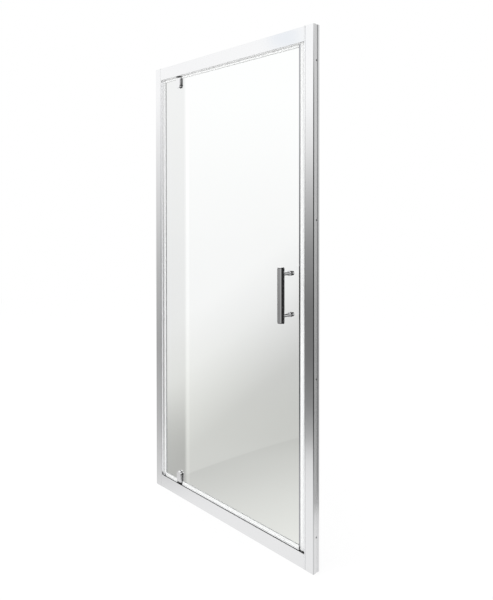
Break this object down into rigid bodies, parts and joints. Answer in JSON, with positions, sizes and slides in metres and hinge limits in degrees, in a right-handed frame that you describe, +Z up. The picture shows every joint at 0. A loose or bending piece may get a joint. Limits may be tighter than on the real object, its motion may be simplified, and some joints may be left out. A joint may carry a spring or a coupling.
{
  "type": "pivot shower door",
  "caption": "Framed pivot shower door for a recess: clear glass leaf on clamps set in from one edge, round bar handle, magnetic closing seal.",
  "frame": {"origin": "under the middle of the bottom rail, at the level of the shower tray", "axes": "+X along the door towards the closing edge, +Y into the shower, +Z up"},
  "size_m": [0.9, 0.0832, 1.85],
  "materials": {
    "frame_metal": "polished bright anodised aluminium extrusion",
    "edge_trim": "satin anodised aluminium trim",
    "grey_trim": "grey anodised aluminium edge trim",
    "chrome": "mirror chrome plate",
    "glass": "clear toughened glass, polished edges",
    "steel": "plain stainless steel",
    "white_seal": "white soft plastic extrusion",
    "clear_seal": "milky soft plastic extrusion",
    "magnet_strip": "bonded magnet strip",
    "black_nylon": "black moulded nylon",
    "clear_nylon": "milky moulded nylon",
    "grey_plastic": "silver-grey moulded plastic",
    "foam_rubber": "black closed-cell rubber",
    "pale_foam": "pale grey closed-cell foam"
  },
  "bodies": {
    "frame": {"wall_channel_right": "frame_metal", "wall_channel_left": "frame_metal", "jamb_right": "frame_metal", "jamb_left": "frame_metal", "jamb_cap_right": "grey_plastic", "jamb_cap_left": "grey_plastic", "head_rail": "frame_metal", "bottom_rail": "frame_metal", "rail_gaskets": "pale_foam", "rail_screws": "steel", "adjuster_screws": "steel", "adjuster_covers": "grey_plastic", "strike_seal": "white_seal", "strike_magnet": "magnet_strip", "hinge_stop": "edge_trim", "top_pivot_block": "black_nylon", "bottom_pivot_block": "black_nylon", "pivot_block_screws": "steel", "thrust_washer": "black_nylon"},
    "door": {"top_clamp_gaskets": "foam_rubber", "bottom_clamp_gaskets": "foam_rubber", "handle_pads": "foam_rubber", "top_clamp_screws": "steel", "bottom_clamp_screws": "steel", "top_pivot_pin": "steel", "bottom_pivot_pin": "steel", "pin_grub_screws": "steel", "handle_studs": "steel", "closing_seal": "white_seal", "closing_edge_clip": "grey_trim", "hinge_edge_clip": "edge_trim", "hinge_seal": "clear_seal", "top_seal_short": "clear_seal", "top_seal_long": "clear_seal", "bottom_seal_short": "clear_seal", "bottom_seal_long": "clear_seal", "closing_magnet": "magnet_strip", "glass_pane": "glass", "top_clamp_front": "chrome", "top_clamp_rear": "chrome", "bottom_clamp_front": "chrome", "bottom_clamp_rear": "chrome", "handle_bar": "chrome", "handle_end_caps": "chrome", "handle_posts": "chrome", "handle_collars": "chrome", "handle_back_caps": "chrome", "handle_sleeves": "clear_nylon"}
  },
  "joints": [
    {"name": "door_swing", "type": "hinge", "parent": "frame", "child": "door", "pos_m": [-0.294, 0, 0], "axis": [0, 0, -1], "range_deg": [0, 90]}
  ]
}
